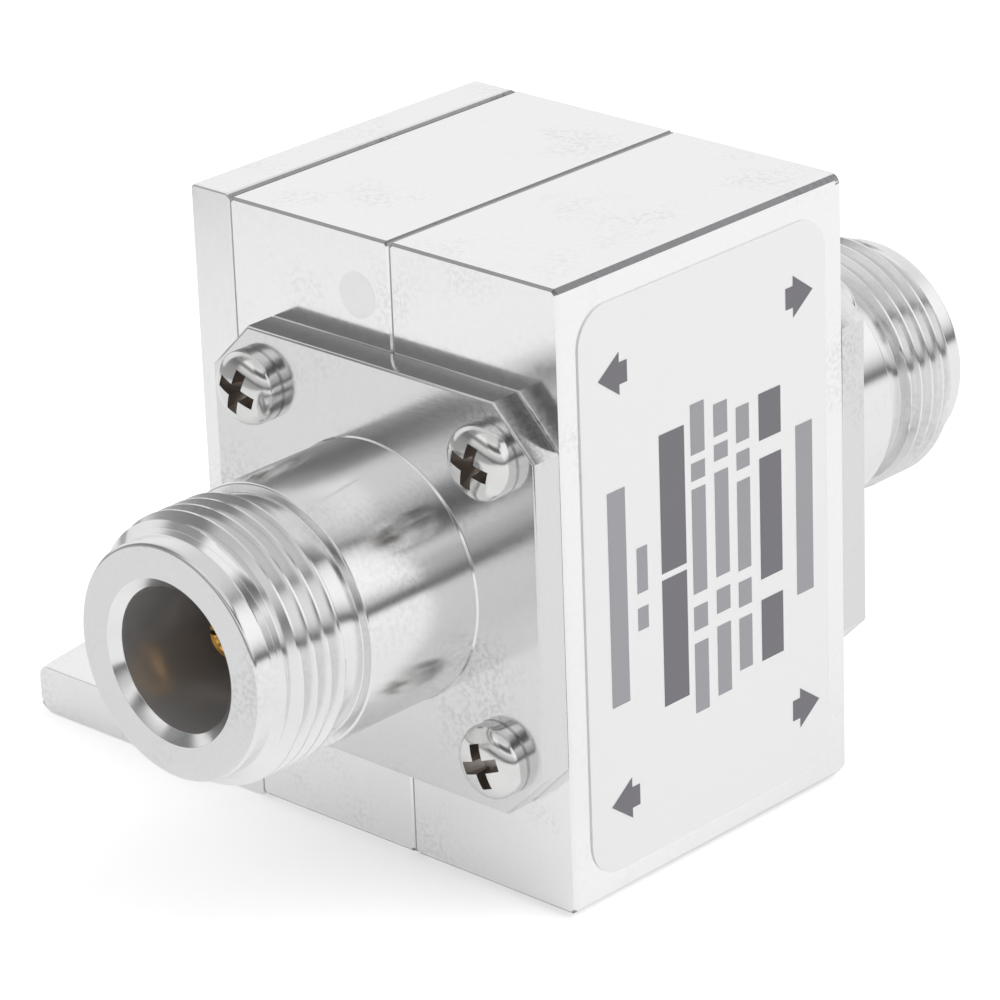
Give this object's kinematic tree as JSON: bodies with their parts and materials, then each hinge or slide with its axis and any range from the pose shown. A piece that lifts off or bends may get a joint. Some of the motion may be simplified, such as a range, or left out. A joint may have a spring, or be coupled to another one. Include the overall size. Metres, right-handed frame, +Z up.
{
  "type": "coax lightning arrestor",
  "caption": "In-line coaxial surge protector: split metal block on an L-shaped foot bracket, with a flanged threaded jack on each end and a gas tube, capacitors and drain coil inside.",
  "frame": {"origin": "bottom centre of the whole part, on the plane that the bracket's foot stands on", "axes": "+Z up, the connector axis along Y with the equipment jack towards -Y, and the label face towards +X"},
  "size_m": [0.0466, 0.0614, 0.0385],
  "materials": {
    "plated_plate": "satin nickel plated, faint rolling lines",
    "plated_block": "satin nickel plated, milled",
    "label_film": "silver film with grey print",
    "plated_brass": "polished white-bronze plated, turned",
    "white_plastic": "waxy white fluoroplastic",
    "gold_contact": "gold plated",
    "screw_steel": "nickel plated steel",
    "copper_leaf": "tinned copper sheet",
    "capacitor_body": "dipped ceramic",
    "tube_ceramic": "white alumina",
    "tube_metal": "nickel plated cap",
    "spring_steel": "plain spring steel",
    "copper_wire": "bare copper wire"
  },
  "bodies": {
    "root": {"mounting_bracket": "plated_plate", "middle_block": "plated_block", "cover_block": "plated_block", "label": "label_film", "equipment_jack_body": "plated_brass", "equipment_jack_insulator": "white_plastic", "equipment_jack_contact": "gold_contact", "equipment_flange_screws": "screw_steel", "equipment_strip": "copper_leaf", "antenna_jack_body": "plated_brass", "antenna_jack_insulator": "white_plastic", "antenna_jack_contact": "gold_contact", "antenna_flange_screws": "screw_steel", "antenna_strip": "copper_leaf", "front_capacitor": "capacitor_body", "rear_capacitor": "capacitor_body", "gas_tube_ceramic": "tube_ceramic", "gas_tube_ground_electrode": "tube_metal", "gas_tube_line_electrode": "tube_metal", "gas_tube_spring": "spring_steel", "drain_coil": "copper_wire", "coil_screw": "screw_steel", "body_screws": "screw_steel"}
  },
  "joints": []
}
